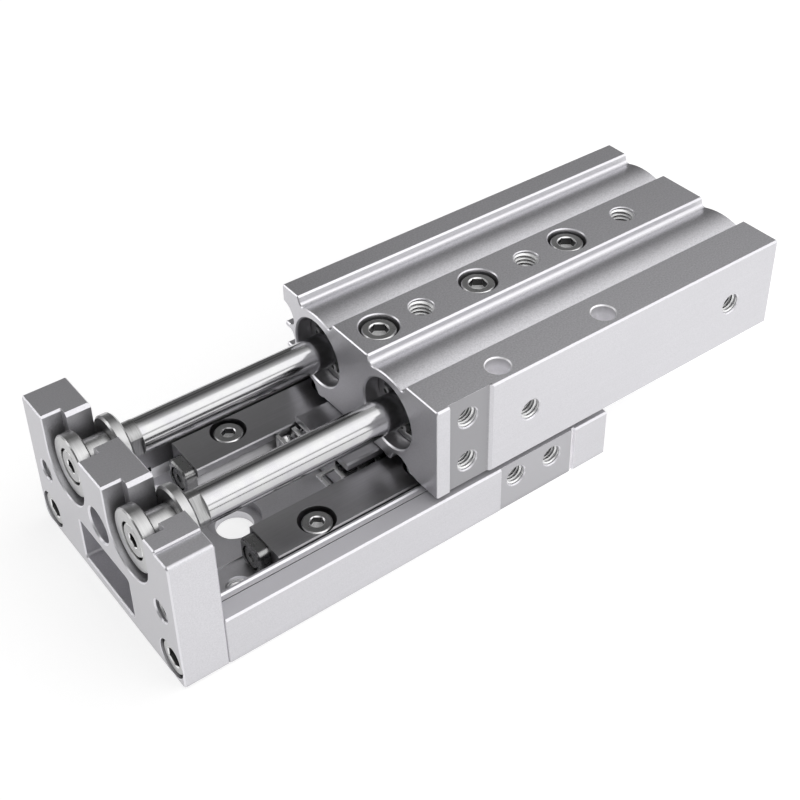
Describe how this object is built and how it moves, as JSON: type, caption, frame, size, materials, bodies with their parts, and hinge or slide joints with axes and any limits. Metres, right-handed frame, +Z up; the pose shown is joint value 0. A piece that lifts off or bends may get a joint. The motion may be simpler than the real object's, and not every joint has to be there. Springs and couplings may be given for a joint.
{
  "type": "pneumatic slide table",
  "caption": "Twin-rod air cylinder carrying a U-shaped table on cross-roller rails; the end plate couples both rods to the table, which slides out lengthwise.",
  "frame": {"origin": "middle of the extended object's footprint, on the table underside", "axes": "+X along the slide from the end plate to the rear of the cylinder body, +Z up from the table underside to the body's mounting lands, air ports on the -Y side"},
  "size_m": [0.165, 0.062, 0.038],
  "materials": {
    "anodised_body": "satin clear anodised extrusion",
    "anodised_table": "satin clear anodised, milled",
    "anodised_plate": "satin clear anodised, milled",
    "guide_steel": "ground bearing steel",
    "black_steel": "black oxide",
    "screw_steel": "oiled screw steel",
    "rod_chrome": "hard chrome, polished",
    "turned_steel": "turned stainless steel",
    "roller_steel": "polished bearing steel",
    "cage_metal": "pressed strip",
    "fitting_alloy": "turned alloy",
    "spring_steel": "phosphated spring steel",
    "seal_rubber": "moulded rubber",
    "magnet": "sintered ring"
  },
  "bodies": {
    "cylinder": {"cylinder_body": "anodised_body", "guide_block": "guide_steel", "guide_screws": "screw_steel", "rod_guide_right": "fitting_alloy", "rod_guide_left": "fitting_alloy", "rod_seals": "seal_rubber", "rod_guide_o_rings": "seal_rubber", "front_retaining_rings": "spring_steel", "head_cap_right": "fitting_alloy", "head_cap_left": "fitting_alloy", "head_cap_o_rings": "seal_rubber", "rear_retaining_rings": "spring_steel"},
    "table": {"table": "anodised_table", "end_plate": "anodised_plate", "end_plate_screws": "screw_steel", "rail_right": "guide_steel", "rail_left": "guide_steel", "rail_screws": "screw_steel", "rail_stops": "black_steel", "stop_screws": "black_steel", "piston_rod_right": "rod_chrome", "piston_rod_left": "rod_chrome", "rod_washer_right": "turned_steel", "rod_washer_left": "turned_steel", "float_bush_right": "turned_steel", "float_bush_left": "turned_steel", "rod_end_screw_right": "screw_steel", "rod_end_screw_left": "screw_steel", "piston_right": "fitting_alloy", "piston_left": "fitting_alloy", "piston_seals": "seal_rubber", "piston_magnets": "magnet", "piston_bumpers": "seal_rubber"},
    "cage_right": {"roller_cage_right": "cage_metal", "cross_rollers_right": "roller_steel"},
    "cage_left": {"roller_cage_left": "cage_metal", "cross_rollers_left": "roller_steel"}
  },
  "joints": [
    {"name": "table_slide", "type": "slide", "parent": "cylinder", "child": "table", "axis": [-1, 0, 0], "range_m": [-0.04, 0]},
    {"name": "cage_right_slide", "type": "slide", "parent": "cylinder", "child": "cage_right", "axis": [-1, 0, 0], "range_m": [-0.02, 0]},
    {"name": "cage_left_slide", "type": "slide", "parent": "cylinder", "child": "cage_left", "axis": [-1, 0, 0], "range_m": [-0.02, 0]}
  ],
  "couplings": [
    {"joint": "cage_right_slide", "follows": "table_slide", "ratio": 0.5},
    {"joint": "cage_left_slide", "follows": "table_slide", "ratio": 0.5}
  ]
}
